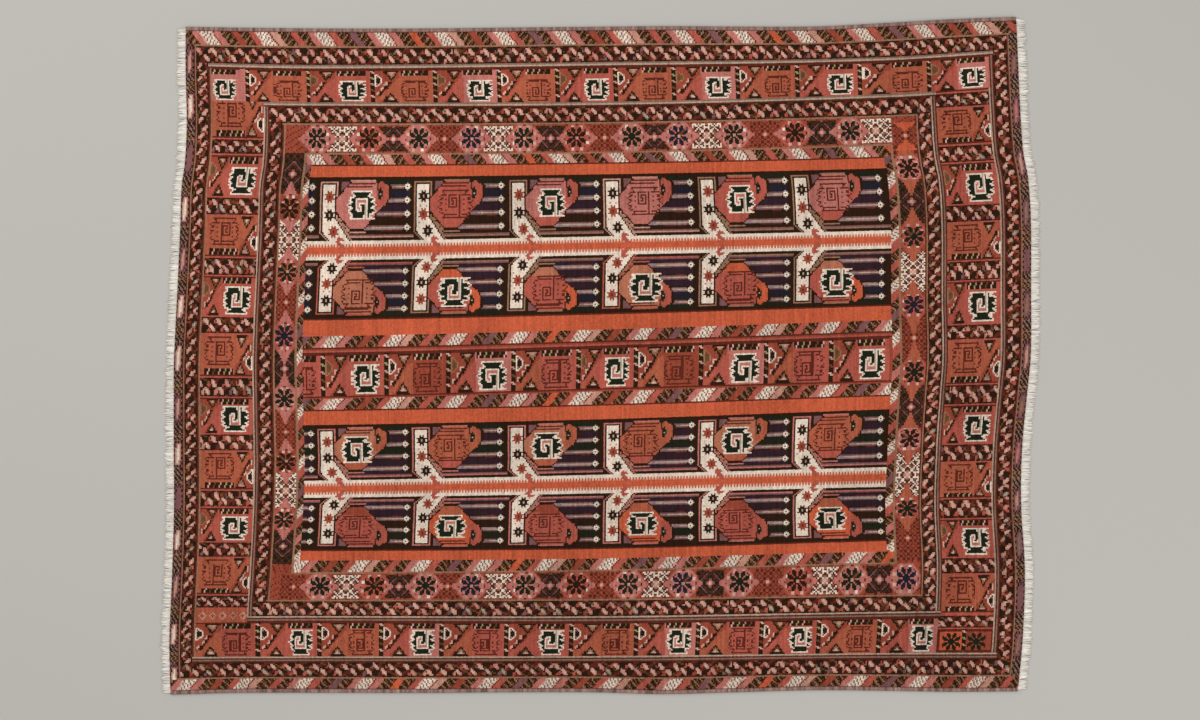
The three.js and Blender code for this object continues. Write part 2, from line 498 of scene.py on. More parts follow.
def lensBand(length, height, shiftBy, hearts):
    # a row of long pointed pale lenses, with dark hatching between
    y, x = np.mgrid[0:height, 0:length]
    period, half = 33, 8.5
    turn = ((x + shiftBy) // period).astype(int)
    from0 = (x + shiftBy) % period - period / 2
    across = y - (height - 1) / 2 - from0 * 0.07
    drawn = cells(length, height, "k")
    strokes = (x + 1.4 * y) % 4.2
    drawn[strokes < 1.6] = "h"
    drawn[(strokes < 1) & ((x // 6) % 3 == 0)] = "t"
    drawn[(strokes > 2.4) & (strokes < 3.2) & ((x // 9) % 2 == 0)] = "b"
    drawn[np.abs(from0) < half + 2] = "k"
    drawn[(np.abs(from0) < half + 2) & ((x + 2 * y) % 4 < 2)] = "m"
    width = 2.3 * np.sqrt(np.clip(1 - (from0 / half) ** 2, 0, 1))
    for n, heart in enumerate(hearts):
        here = turn % len(hearts) == n
        drawn[here & (np.abs(across) < width)] = "a" if heart == "w" else "m"
        drawn[here & (np.abs(across) < width - 1.2)] = heart
    return drawn


def lattice(kind, wide=16):
    # a net of crossing lines round a small diamond, 16 knots high: w is a white net, d a dark
    # and r a red one
    y, x = np.mgrid[0:16, 0:wide] + 0.5
    x, y = np.abs(x - wide / 2), np.abs(y - 8)
    looks = {"w": (5.2, "wda"), "d": (5.2, "dgp"), "r": (3.4, "drq")}
    step, (lines, ground, middle) = looks[kind]
    drawn = cells(wide, 16, ground)
    if kind == "w":
        drawn[(x + y + 2.6) % step < 1] = "t"
        drawn[(y > 5) & ((x + 2 * y) % 4 < 1)] = "w"
    elif kind == "d":
        drawn[(x + y + 2.6) % step < 1] = "m"
    drawn[((x + y) % step < 1) | ((x - y) % step < 1)] = lines
    drawn[x + y < 2.6] = middle
    drawn[x + y < 1.2] = "c"
    return drawn


def starBand(length, height, stars, blocks, grounds, points):
    # dark eight-petalled stars on beaded octagons, with a lattice block before each and after
    # the last
    y, x = np.mgrid[0:height, 0:length] + 0.5
    drawn = cells(length, height, "r")
    drawn[(x * 0.9 + y * 1.7) % 7 < 1] = "d"
    middle = height / 2
    half = min(height / 2, 9)
    gap = (stars[-1] - stars[0]) / (len(stars) - 1)
    between = [(one + two) / 2 for one, two in zip(stars, stars[1:])]
    for at, kind in zip([stars[0] - gap / 2, *between, stars[-1] + gap / 2], blocks):
        if kind != "-":
            wide = round(gap - 17)
            stamp(drawn, at - wide / 2, middle - 8, lattice(kind, wide))
    for n, at in enumerate(stars):
        fromX, fromY = np.abs(x - at), np.abs(y - middle)
        octagon = np.maximum(np.maximum(fromX / 9.4, fromY / half), (fromX + fromY) / 13.2)
        drawn[octagon < 1.08] = "r"
        drawn[octagon < 1] = grounds[n % 4]
        drawn[(fromX / (gap / 2 - 3.6) + fromY / 9 < 1) & (fromX > 8)] = points
        for turn in range(8):
            angle = math.radians(22.5 + 45 * turn)
            dotX, dotY = at + 7.9 * math.cos(angle), middle + (half - 1.2) * math.sin(angle)
            dot(drawn, dotX, dotY, 0.9, "cccacccw"[(turn + 3 * n) % 8])
            angle = math.radians(45 * turn)
            dotX, dotY = at + 8.3 * math.cos(angle), middle + (half - 0.8) * math.sin(angle)
            dot(drawn, dotX, dotY, 0.5, "d")
        stamp(drawn, at - 6.5, middle - 6.5, flower, {"G": "gkgv"[n % 4]})
        if n % 3 == 1:
            stroke(drawn, at + 0.6, middle - 0.6, at + 3.6, middle - 4.6, "b", 1.6)
        dot(drawn, at, middle, 0.5, "a")
    return drawn


def rope(art, x0, y0, x1, y1, upright):
    # a dark cord with slanting pale and olive strokes
    fill(art, x0, y0, x1, y1, "k")
    steps = range(y0 + 2, y1, 5) if upright else range(x0 + 2, x1, 4)
    for n, start in enumerate(steps):
        yarn = "cyab"[n % 4]
        if upright:
            stroke(art, x0 + 0.6, start - 1.1, x1 - 0.6, start + 1.3, yarn, 1.3)
        else:
            stroke(art, start - 1.3, y1 - 0.5, start + 1.3, y0 + 0.5, yarn, 1.3)


tileWide, tileTall = 41, 27


def tile(dark, wide=19, tall=18, ground="s", white=None, flipped=True):
    # a square leaf with its medallion at the right, and a half flower and two triangles before
    # it. The medallion is wide by tall knots, and white is whether the half flower is.
    art = cells(tileWide, tileTall, "s")
    start = 38.6 - wide
    k = (start - 3) / 16.6
    shade = "b" if dark else "t"
    muted = dark if white is None else not white

    def across(points):
        return [(3 + (x - 3) * k, y) for x, y in points]

    fill(art, 3, 0, start, tileTall, "r")
    fill(art, start - 0.5, 0, tileWide, tileTall, ground)
    diagonal = [
        (3, 27), (3, 23.5), (7, 21), (12.4, 14.6), (16.5, 8), (19.6, 6.6), (19.6, 27), (17, 27),
        (12.8, 18.6), (7.5, 25), (6, 27),
    ]
    area(art, across(diagonal), "s" if dark else "q")
    rope(art, 0, 0, 3, tileTall, True)
    stamp(art, 3, 4, halfFlower, mutedFlower if muted else None)
    triangles = [
        ("k", (8.6, 1), (19, 1), (13.6, 9.6)), (shade, (10.4, 2), (17.2, 2), (13.8, 7.4)),
        ("a", (11.6, 2), (16, 2), (13.8, 5)), ("k", (8.2, 26.6), (18, 26.6), (12.8, 18.4)),
        (shade, (10.4, 25.4), (15.8, 25.4), (12.9, 20.6)),
        ("c", (10.8, 25.4), (15.4, 25.4), (13, 22.8)),
    ]
    for yarn, *points in triangles:
        area(art, across(points), yarn)
    low, bend, high = across([(6.2, 21.4), (9.4, 16.2), (13.4, 9.6)])
    stroke(art, *low, *bend, "k", 1.3)
    stroke(art, *bend, *high, "k", 1.3)
    for x, y in across([(10.2, 11.6), (8, 15.6), (5, 19.4)]):
        stroke(art, x + 0.4, y - 1.8, x - 0.4, y + 1.8, "c", 1.2)
        stroke(art, x + 1.6, y - 1.6, x + 0.8, y + 1.8, "k", 1.2)
    rope(art, round(start), 1, 38, 5, False)
    stamp(art, start + 0.4, 26 - tall, medallionIn(wide, tall, dark, flipped), medallionDyes)
    fill(art, 3, 0, tileWide, 1, "d")
    fill(art, 38, 1, tileWide, tileTall, ground)
    return art


def guardBand(length, height, _):
    # lines of grey cream, mouse grey and dark red beside the tiles
    lines = {1: "t", 2: "dt", 3: "hed", 4: "edhd"}[height]
    return np.repeat(charted(lines).T, length, axis=1)


trees = {"pitch": 63.5, "first": 7.2}  # from tree to tree and before the first, in knots


def fieldUnit(look, grounds, stars):
    # one tree of the field: a starred strip, an eight-sided leaf and a comb with ringed teeth.
    # look holds the leaf's yarns: its body, its lower part, its lobe and its lines.
    art = cells(66, 42, "k")
    teeth = ((6, 48), (15, 47), (24, 40), (33, 32))
    for n, (row, start) in enumerate(teeth):
        fill(art, 30, row - 7 if n == 0 else row - 6, 60, row - 1, grounds[n])
    fill(art, 30, 35, 60, 38, grounds[-1])
    for n, (row, start) in enumerate(teeth):
        lines = (
            (-6, -1, 57, "m"), (-8, 0, 58, "j"), (3, 0, 58, "e"), (-8, 1, 56, "mj"[n % 2]),
            (9, 2, 55, "d"),
        )
        for left, down, right, yarn in lines:
            fill(art, start + left, row + down, right, row + down + 1, yarn)
        stamp(art, 56, row - 2, ring)
    fill(art, 62, 0, 66, 42, "k")
    fill(art, 0, 0, 66, 2, "k")

    # strip, with pink marks where it meets the stem
    area(art, [(0, 3), (12.4, 3), (12.4, 27), (22.4, 42), (5, 42), (0, 36)], look[3])
    area(art, [(1, 4), (11.3, 4), (11.3, 27.5), (21, 42), (6, 42), (1, 36.4)], "k")
    area(art, [(1.7, 5), (10.4, 5), (10.4, 27.6), (20, 42), (7, 42), (1.7, 35.2)], "w")
    for n, yarn in enumerate(stars):
        x, y = ((5.7, 13), (5.7, 24.6), (9, 36))[n]
        stamp(art, x - 3, y - 4, star, starDyes[yarn])
    for x, y in ((3, 30), (7.5, 30.5), (4, 18.8), (8, 19)):
        fill(art, x, y, x + 1, y + 1, "c" if stars[0] == "r" else "s")
    area(art, [(11.5, 40.6), (13.4, 38.8), (17.6, 42), (12.4, 42)], "s")

    # lines that follow the strip round the leaf
    fill(art, 12.4, 2, 13.6, 26, "k")
    area(art, [(12, 22), (20, 34), (20.6, 40), (22.4, 42), (12, 27)], "k")
    stroke(art, 12, 24.9, 21, 37.3, look[3], 1)
    fill(art, 21, 36, 31, 37, look[3])
    stroke(art, 12, 26.9, 21, 39.6, "t", 0.9)
    fill(art, 20, 38, 66, 39, "m")
    fill(art, 20, 39, 66, 40, look[3])

    # leaf
    area(art, [(13.6, 2.6), (21, 2.6), (13.6, 10)], "m")
    leaf = [
        (21, 3), (41.6, 3), (46.5, 7.2), (46.5, 13.4), (43.4, 18.7), (39.3, 22.2), (29.6, 34.4),
        (20.9, 34.4), (11.4, 23), (11.4, 14.6),
    ]
    middleX, middleY = 28, 18
    wider = [(x + (x - middleX) * 0.07, y + (y - middleY) * 0.06) for x, y in leaf]
    area(art, wider, "k")
    area(art, leaf, look[0])
    area(art, [(16, 28), (35, 26.6), (29.6, 34.4), (20.9, 34.4)], look[1])
    area(art, [(39, 3), (41.6, 3), (46.5, 7.2), (46.5, 13.4), (43.4, 18.7), (37, 21)], look[2])
    fill(art, 20.5, 2, 37, 3, look[3])
    fill(art, 19.4, 4, 37, 5, "d")
    fill(art, 17, 6, 35, 7, "d")
    area(art, [(36.6, 1.6), (40.6, 1.6), (38.4, 7)], "g")
    stroke(art, 38.4, 5, 39.6, 12, "d", 1.2)
    area(art, [(38.6, 8.4), (41, 7), (42.2, 12), (40.2, 15.4), (38.8, 13.6)], "g")
    fill(art, 40, 11, 41, 12, "e")
    return art


def fieldRow(drawn, plan):
    # looks, stars and medallions alternate from tree to tree
    drawn[:] = "k"
    wide, tall, top = plan["medallion"]
    for n in range(-1, 6):
        dark = (n % 2 == 0) == plan["firstDark"]
        look = plan["looks"][n % len(plan["looks"])]
        unit = fieldUnit(look, plan["grounds"], plan["stars"][n % len(plan["stars"])])
        if plan["mirrored"]:
            unit = unit[::-1]
        left = trees["first"] + plan["shift"] + trees["pitch"] * n
        stamp(drawn, left, 0, unit)
        across = wide if dark else linedMedallion.shape[1]
        motif = medallionIn(across, tall, dark, plan["flipped"])
        stamp(drawn, left + plan["middle"] - across / 2, top, motif, medallionDyes)


def stem(drawn, shift):
    # an orange-red stem between toothed ivory edges, with a gap where each strip meets it
    height, width = drawn.shape
    y, x = np.mgrid[0:height, 0:width]
    drawn[:] = "o"
    fromEdge = np.minimum(y, height - 1 - y)
    tooth = (x + fromEdge // 2) % 2 == 0
    drawn[(fromEdge < 2) | ((fromEdge < 4) & tooth)] = "w"
    drawn[(fromEdge == 3) & tooth] = "c"
    for n in range(6):
        left = trees["first"] + shift + trees["pitch"] * n
        for tip, base in ((0, 4.6), (12, 7.4)):
            corners = ((11, tip), (14.4, tip), (18.4, base), (15, base))
            area(drawn, [(left + x, y) for x, y in corners], "s")


# The whole chart, from the outer bands to the field

chart = cells(columns, rows, "k")


def drawFrame(side, across, standing):
    # across(length, height, isTop) draws the level bands, and standing(length, width, isLeft)
    # the upright ones, as if they were level
    left, right = columnOf[side + "Left"], columnOf[side + "Right"]
    top, bottom = rowOf[side + "Top"], rowOf[side + "Bottom"]
    for isLeft, (x0, x1) in ((True, left), (False, right)):
        stamp(chart, x0, top[0], np.rot90(standing(bottom[1] - top[0], x1 - x0, isLeft)))
    for isTop, (y0, y1) in ((True, top), (False, bottom)):
        stamp(chart, left[0], y0, across(right[1] - left[0], y1 - y0, isTop))


def drawLeaves(side, seed):
    drawFrame(
        side,
        lambda length, height, isTop: leafBand(length, height, seed + isTop),
        lambda length, width, isLeft: leafBand(length, width, seed + 10 + isLeft),
    )


def levelBarber(shiftBy):
    # the barber's stripes along the top, which lean the other way along the bottom
    return lambda length, height, isTop: barberBand(
        length, height, 1 if isTop else -1, levelBlocks, shiftBy
    )


levelBlocks = [("x", 7.7), ("mrsmor", 6), ("x", 6.5), ("psp", 5.5), ("z", 9.5), ("pas", 6)]
standingBlocks = [("s", 8), ("z", 8), ("x", 7), ("pms", 7), ("x", 7)]
drawFrame(
    "outer",
    levelBarber(17),
    lambda length, width, isLeft: lensBand(
        length, width, 10 if isLeft else 22, "wwawmwa" if isLeft else "atmhapt"
    ),
)
drawFrame("rule", guardBand, guardBand)
drawLeaves("leaf", 11)
drawFrame("guard", guardBand, guardBand)

# Tiles along the top, bottom and sides. Each number is where a tile starts, in millimetres.
topTiles = (
    -658.6, -545.8, -427.4, -312.7, -194.3, -85.1, 20.4, 129.5, 247.9, 357.1, 471.8, 601.3, 716,
)
bottomTiles = (-640, -527, -412.5, -299.7, -181.3, -61, 59.2, 172, 290.5, 396, 507, 620)
crossTiles = (-520, -403.3, -286.8, -166.5, -48.1, 59.2, 179.5, 299.7, 418.1, 530)
leftTiles = (
    475.5, 401.5, 369, 294, 256, 181, 145, 72, 37, -39, -78, -144, -178, -248, -281, -344, -375.5,
    -441, -470,
)
rightTiles = (
    490, 459, 392, 355, 281, 244, 176, 137, 61, 28, -52, -91, -161, -198, -264.5, -303, -372, -407,
    -476, -504,
)


def tilesAcross(name, starts, firstDark, wide, tall, grounds, white=None, flips="1"):
    y0, y1 = rowOf[name]
    edges = [columnAt(name, x) for x in starts]
    for n, (x0, x1) in enumerate(zip(edges, edges[1:])):
        flipped = flips[n % len(flips)] == "1"
        drawn = tile((n % 2 == 0) == firstDark, wide, tall, grounds[n % 4], white, flipped)
        stamp(chart, x0, y0, fit(drawn, x1 - x0, y1 - y0))


def tilesUp(name, starts, kinds):
    # kinds: d and r are tiles with dark and red medallions, l a strip of leaves
    x0, x1 = columnOf[name]
    edges = [rowAt(name, y) for y in starts]
    for n, (top, bottom) in enumerate(zip(edges, edges[1:])):
        kind = kinds[n % len(kinds)]
        if kind == "l":
            stamp(chart, x0, top + 1, leafBand(x1 - x0, bottom - top - 2, top))
            fill(chart, x0, top, x1, top + 1, "s")
            fill(chart, x0, bottom - 1, x1, bottom, "s")
        else:
            drawn = tile(kind == "d", 22, 19, "s" if kind == "d" else "q")[:, 3:]
            if kind == "r":
                drawn = drawn[::-1, ::-1]
            stamp(chart, x0, top, fit(drawn, x1 - x0, bottom - top))


tileLeft, tileRight = columnOf["tileLeft"], columnOf["tileRight"]
tileTop, tileBottom = rowOf["tileTop"], rowOf["tileBottom"]
fill(chart, tileLeft[0], tileTop[0], tileRight[1], tileBottom[1], "d")
tilesUp("tileLeft", leftTiles, "rldl")
tilesUp("tileRight", rightTiles, "lrld")
tilesAcross("tileTop", topTiles, False, 19, 17, "qsqp")
tilesAcross("tileBottom", bottomTiles, True, 18, 20, "sqps", True)

# The first tile at the top left is cut short, and the one at the bottom left is fitted
wide = columnAt("tileTop", topTiles[0]) - tileLeft[0]
cornerTile = np.roll(tile(True, 19, 17, "p")[:, tileWide - wide :], -4, axis=1)
cornerTile[:, -4:] = "p"
stamp(chart, tileLeft[0], tileTop[0], cornerTile)
wide = columnAt("tileBottom", bottomTiles[0]) - tileLeft[0]
stamp(
    chart, tileLeft[0], tileBottom[0],
    fit(tile(False)[:, 3:], wide, tileBottom[1] - tileBottom[0]),
)

# The lower left corner has a strip of diamonds, and the lower right one two small squares
y0, y1 = rowAt("tileLeft", leftTiles[-1]), tileBottom[0]
fill(chart, tileLeft[0], y0, tileLeft[1], y1, "q")
for n in range(5):
    x, y = tileLeft[0] + 5 + 7.5 * n, (y0 + y1) / 2
    diamond(chart, x, y, 2.6, "a")
    diamond(chart, x, y, 1.5, "r")
cornerTop, stripTop = -505, -479  # in millimetres
x0, x1 = columnAt("tileBottom", bottomTiles[-1]), tileRight[1]
y0, y1 = rowAt("tileRight", cornerTop), tileBottom[1]
stripRow = rowAt("tileRight", stripTop)
fill(chart, x0, stripRow, x1, y0, "s")
stamp(chart, x0, stripRow + 1, leafBand(x1 - x0, y0 - stripRow - 2, 7))
half = (x1 - x0 - 3) // 2
fill(chart, x0, y0, x1, y1, "d")
fill(chart, x0 + 2, y0 + 2, x0 + half, y1 - 2, "o")
fill(chart, x0 + half + 3, y0 + 2, x1 - 1, y1 - 2, "r")
rope(chart, x0 + half, y0, x0 + half + 3, y1, True)
for middle in (x0 + half / 2 + 1, x0 + half * 1.5 + 2):
    stamp(chart, middle - 6.5, (y0 + y1) / 2 - 6.5, flower, {"G": "g"})

drawFrame("innerGuard", guardBand, guardBand)
drawLeaves("innerLeaf", 31)
drawFrame("innerRule", guardBand, guardBand)

# Where the stars are along each band, in millimetres, and the kinds of lattice before and after
# each, with - for none
starPlaces = {
    "starTop": (-527, -432, -341, -240, -142, -45, 54, 143, 245, 355, 458),
    "starBottom": (-523, -422, -328, -242, -140, -49, 50, 149, 253, 361, 462, 560),
    "starLeft": (-302, -195, -83, 35, 154, 272),
    "starRight": (-282, -156, -34, 93, 219, 345),
}
starBlocks = {
    "starTop": "-wdrwdrdwrdw", "starBottom": "rwdrwdrwdrwd-",
    "starLeft": "dwrdrwd", "starRight": "rwdrwdr",
}
cornerBlock = (562, 405)


def levelStars(length, height, isTop):
    band = "starTop" if isTop else "starBottom"
    stars = [columnAt(band, x) - columnOf["starLeft"][0] for x in starPlaces[band]]
    return starBand(length, height, stars, starBlocks[band], "pspp", "p")


def standingStars(length, width, isLeft):
    band, grounds, points = ("starLeft", "srps", "p") if isLeft else ("starRight", "spss", "q")
    stars = [rowOf["starBottom"][1] - rowAt(band, y) for y in starPlaces[band]]
    return starBand(length, width, stars, starBlocks[band], grounds, points)


drawFrame("star", levelStars, standingStars)

# In the upper right corner a lattice block, with a triangle above and below it
blockX, blockY = columnAt("starTop", cornerBlock[0]), rowAt("starRight", cornerBlock[1])
stamp(chart, blockX - 8, blockY - 8, lattice("r"))
for way in (-1, 1):
    far, near = blockY + way * 9, blockY + way * 3
    area(chart, [(blockX - 8, far), (blockX + 8, far), (blockX, near)], "o")

drawFrame("starRule", guardBand, guardBand)
drawFrame(
    "innerBarber",
    levelBarber(25),
    lambda length, width, isLeft: barberBand(length, width, 1, standingBlocks, 5),
)

# The field, a view of the chart's own knots
field = chart[:, slice(*columnOf["field"])]


def fieldBand(name):
    # the knots of one of the field's bands
    return field[slice(*rowOf[name])]


for name in ("stripeOne", "stripeTwo", "stripeThree", "stripeFour"):
    stripe = fieldBand(name)
    stripe[:] = "o"
    stripe[0] = "d"

# Rows of trees. Where one is mirrored its trees hang down. looks holds the yarns of the leaves'
# body, lower part, lobe and lines, and grounds those between the teeth of the combs. medallion
# is its width, height and top, shift moves the row and middle is a leaf's middle, all in knots.
rowPlans = {
    "rowOne": {
        "mirrored": False, "flipped": False, "firstDark": True, "medallion": (20, 19, 9),
        "looks": ("ppsa", "ssst", "psst"), "grounds": "gvnk", "stars": ("rkr", "krk"),
        "shift": 0.4, "middle": 28,
    },
    "rowTwo": {
        "mirrored": True, "flipped": True, "firstDark": False, "medallion": (23, 21, 14),
        "looks": ("uuss", "soot", "suot"), "grounds": "gvnn", "stars": ("krk", "rkr"),
        "shift": 0.4, "middle": 28,
    },
    "rowThree": {
        "mirrored": False, "flipped": False, "firstDark": True, "medallion": (22, 20, 9),
        "looks": ("uqqp", "qsqp"), "grounds": "gngn", "stars": ("rkr", "krk"),
        "shift": 1.8, "middle": 25.6,
    },
    "rowFour": {
        "mirrored": True, "flipped": False, "firstDark": False, "medallion": (22, 18, 15),
        "looks": ("srsp", "oqsp"), "grounds": "kgkn", "stars": ("krk", "rkr"),
        "shift": 3.6, "middle": 25.2,
    },
}
for name, plan in rowPlans.items():
    fieldRow(fieldBand(name), plan)
stem(fieldBand("stemOne"), 0.4)
stem(fieldBand("stemTwo"), 2.6)
for name in ("barberTwo", "barberThree"):
    band = fieldBand(name)
    band[:] = barberBand(band.shape[1], band.shape[0], -1, levelBlocks, 9)
for name in ("ruleTwo", "ruleThree"):
    for line, yarn in zip(fieldBand(name), "drsd"):
        line[:] = yarn
cross = fieldBand("cross")
cross[:] = "r"
tilesAcross("cross", crossTiles, True, 20, 19, "srps", None, "1101")
wide = columnAt("cross", crossTiles[0]) - columnOf["field"][0]
stamp(cross, 0, 0, tile(False)[:, tileWide - wide :])
print("chart drawn:", columns, "by", rows, "knots")


# Finishes


class Wire:
    # a node's output, on which arithmetic adds Math nodes
    def __init__(self, finish, socket):
        self.finish, self.socket = finish, socket

    def maths(self, operation, first, second):
        return self.finish.node("ShaderNodeMath", {"operation": operation}, {0: first, 1: second})

    def __add__(self, other):
        return self.maths("ADD", self, other)

    def __sub__(self, other):
        return self.maths("SUBTRACT", self, other)

    def __rsub__(self, other):
        return self.maths("SUBTRACT", other, self)

    def __mul__(self, other):
        return self.maths("MULTIPLY", self, other)

    __radd__ = __add__
    __rmul__ = __mul__


class Finish:
    def __init__(self, name, roughness=0.95):
        self.material = bpy.data.materials.new(name)
        self.material.use_nodes = True
        self.tree = self.material.node_tree
        self.shader = self.tree.nodes["Principled BSDF"]
        self.shader.inputs["Roughness"].default_value = roughness
        self.shader.inputs["Specular IOR Level"].default_value = 0.06

    def node(self, kind, settings, values, output=0):
        made = self.tree.nodes.new(kind)
        for name, value in settings.items():
            setattr(made, name, value)
        for key, value in values.items():
            if isinstance(value, Wire):
                self.tree.links.new(value.socket, made.inputs[key])
            else:
                made.inputs[key].default_value = value
        return Wire(self, made.outputs[output])

    def ramp(self, factor, colours):
        # colours side by side in steps of the same width
        chosen = self.node("ShaderNodeValToRGB", {}, {0: factor})
        band = chosen.socket.node.color_ramp
        band.interpolation = "CONSTANT"
        while len(band.elements) < len(colours):
            band.elements.new(1)
        for n, (stop, colour) in enumerate(zip(band.elements, colours)):
            stop.position, stop.color = n / len(colours), colour
        return chosen

    def attribute(self, name):
        return self.node("ShaderNodeAttribute", {"attribute_name": name}, {}, "Fac")

    def place(self, scale):
        where = self.node("ShaderNodeTexCoord", {}, {}, "Object")
        return self.node("ShaderNodeVectorMath", {"operation": "MULTIPLY"}, {0: where, 1: scale})

    def noise(self, scale, detail=2, roughness=0.5):
        return self.node(
            "ShaderNodeTexNoise", {},
            {"Vector": self.place(scale), "Scale": 1, "Detail": detail, "Roughness": roughness},
        )

    def blend(self, factor, first, second, kind="MIX"):
        settings = {"data_type": "RGBA", "blend_type": kind}
        return self.node("ShaderNodeMix", settings, {0: factor, 6: first, 7: second}, 2)

    def wear(self, name, value):
        self.tree.links.new(value.socket, self.shader.inputs[name])

    def bump(self, height, distance):
        values = {"Height": height, "Distance": distance, "Strength": 1}
        self.wear("Normal", self.node("ShaderNodeBump", {}, values))


def dye(colour):
    # a colour from 0 to 255 as the shader wants it
    linear = [(c / 255 / 12.92) if c < 10 else ((c / 255 + 0.055) / 1.055) ** 2.4 for c in colour]
    return (*linear, 1)


wool = {
    "abrash": 0.5,  # how much a dye changes from one weft to the next
    "patches": 0.3,  # slow change over the rug
    "knotTone": 0.16,  # from knot to knot
    "fibre": 0.22,  # along a strand
    "weftScale": (210, 9, 9),  # noise scales, along the warps first: wefts run across the rug
    "patchScale": (7, 5, 5),
    "fibreScale": (1400, 1400, 1400),
    "plainScale": (1500, 1500, 1500),  # fibres of the selvedges and warps
    "fading": (-0.05, 0.13, 0),  # paler towards the upper left, per metre
}


def dyedWool(name, tuft):
    finish = Finish(name)
    index = finish.attribute("yarn")
    tone = finish.attribute("tone")
    colour = finish.ramp(index, [dye(colour) for colour in yarns.values()])
    wefts = finish.noise(wool["weftScale"], 3, 0.6)
    broad = finish.noise(wool["patchScale"], 2)
    fibre = finish.noise(wool["fibreScale"], 2, 0.7)
    light = 1 + (wefts - 0.5) * (2 * wool["abrash"]) + (broad - 0.5) * (2 * wool["patches"])
    where = finish.place((1, 1, 1))
    # the whole pile is made paler towards the upper left and darker towards the lower right
    slope = finish.node(
        "ShaderNodeVectorMath", {"operation": "DOT_PRODUCT"}, {0: where, 1: wool["fading"]}, 1
    )
    light = light + tone * wool["knotTone"] + (fibre - 0.5) * (2 * wool["fibre"]) + slope
    finish.wear("Base Color", finish.blend(1, colour, light, "MULTIPLY"))
    finish.bump(fibre, tuft)
    return finish.material


def plainWool(name, dark, pale, stripes, bump):
    finish = Finish(name)
    streak = finish.noise(stripes, 3, 0.6)
    tone = finish.attribute("tone")
    fibre = finish.noise(wool["plainScale"], 2, 0.7)
    spread = finish.node(
        "ShaderNodeMapRange", {}, {"Value": streak, "From Min": 0.35, "From Max": 0.65}
    )
    colour = finish.blend(spread, dye(dark), dye(pale))
    light = 1 + tone * 0.2 + (fibre - 0.5) * 0.3
    finish.wear("Base Color", finish.blend(1, colour, light, "MULTIPLY"))
    finish.bump(fibre, bump)
    return finish.material


pileWool = dyedWool("dyed_pile_wool", 0.0006)
backWool = dyedWool("knot_backs", 0.0003)
selvedgeWool = plainWool("overcast_wool", (112, 84, 76), (162, 130, 119), (160, 20, 20), 0.0004)
warpWool = plainWool("ivory_warps", (206, 199, 189), (240, 234, 225), (30, 420, 60), 0.0003)
print("finishes made")


# Meshes


def meshPiece(name, points, faces, material, yarnOf=None, toneOf=None, uv=None, shade=False):
    mesh = bpy.data.meshes.new(name)
    mesh.from_pydata(np.asarray(points).tolist(), [], faces)
    mesh.materials.append(material)
    for key, values in (("yarn", yarnOf), ("tone", toneOf)):
        if values is not None:
            mesh.attributes.new(key, "FLOAT", "FACE").data.foreach_set("value", values)
    if uv is not None:
        places = np.asarray(uv, np.float32).ravel()
        mesh.uv_layers.new(name="OFBake").data.foreach_set("uv", places)
    mesh.polygons.foreach_set("use_smooth", [shade] * len(faces))
    mesh.update()
    piece = bpy.data.objects.new(name, mesh)
    bpy.context.collection.objects.link(piece)
    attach(piece, "root")
    return piece


chance = np.random.default_rng(29)
yarnNumber = np.zeros(chart.shape)
for n, letter in enumerate(yarns):
    yarnNumber[chart == letter] = (n + 0.5) / len(yarns)
isDark = np.isin(chart, list(darkYarns)).astype(float)
knotTone = chance.normal(0, 0.5, chart.shape).clip(-1.2, 1.2)

# Where every knot's corners lie
middleEdges = columnEdges(0.5)
nominalU = (middleEdges - middleEdges[0]) / (middleEdges[-1] - middleEdges[0])
cornerY = np.stack([rowEdges(u) for u in nominalU], axis=1)
cornerV = (cornerY - edge("lower", nominalU)) / (edge("upper", nominalU) - edge("lower", nominalU))
levels = np.linspace(0, 1, cloth["levels"])
columnTable = np.stack([columnEdges(v) for v in levels])
cornerX = np.stack(
    [np.interp(cornerV[:, i], levels, columnTable[:, i]) for i in range(columns + 1)], axis=1
)
inner = np.zeros(cornerX.shape)
inner[1:-1, 1:-1] = 1
wear = np.zeros(cornerX.shape)
wear[1:-1, 1:-1] = (isDark[1:, 1:] + isDark[:-1, 1:] + isDark[1:, :-1] + isDark[:-1, :-1]) / 4
pileX = cornerX + inner * chance.uniform(-1, 1, cornerX.shape) * cloth["knotScatter"]
pileY = cornerY + inner * chance.uniform(-1, 1, cornerX.shape) * cloth["knotScatter"]
pileZ = topHeight(cornerX, cornerY) + chance.normal(0, cloth["tuftScatter"] / 2, cornerX.shape)
pileZ -= wear * cloth["darkWear"] + (1 - inner) * cloth["edgeDrop"]


def inFrame(x, y, z):
    return np.stack([(x + shift[0]) * mm, (y + shift[1]) * mm, z * mm], axis=-1)


def foldedMap(countAcross, countDown, folds):
    # a long strip of small faces, cut into shorter lengths that lie side by side in a square
    length = math.ceil(countAcross / folds)
    i, j = np.meshgrid(np.arange(countAcross), np.arange(countDown))
    fold = i // length
    u = (i - fold * length)[..., None] + np.array([0, 0, 1, 1])
    v = (fold * (countDown + 1) + j)[..., None] + np.array([0, 1, 1, 0])
    places = np.stack([u / length, v / ((countDown + 1) * folds)], axis=-1)
    return places.reshape(-1, 4, 2) * 0.998 + 0.001


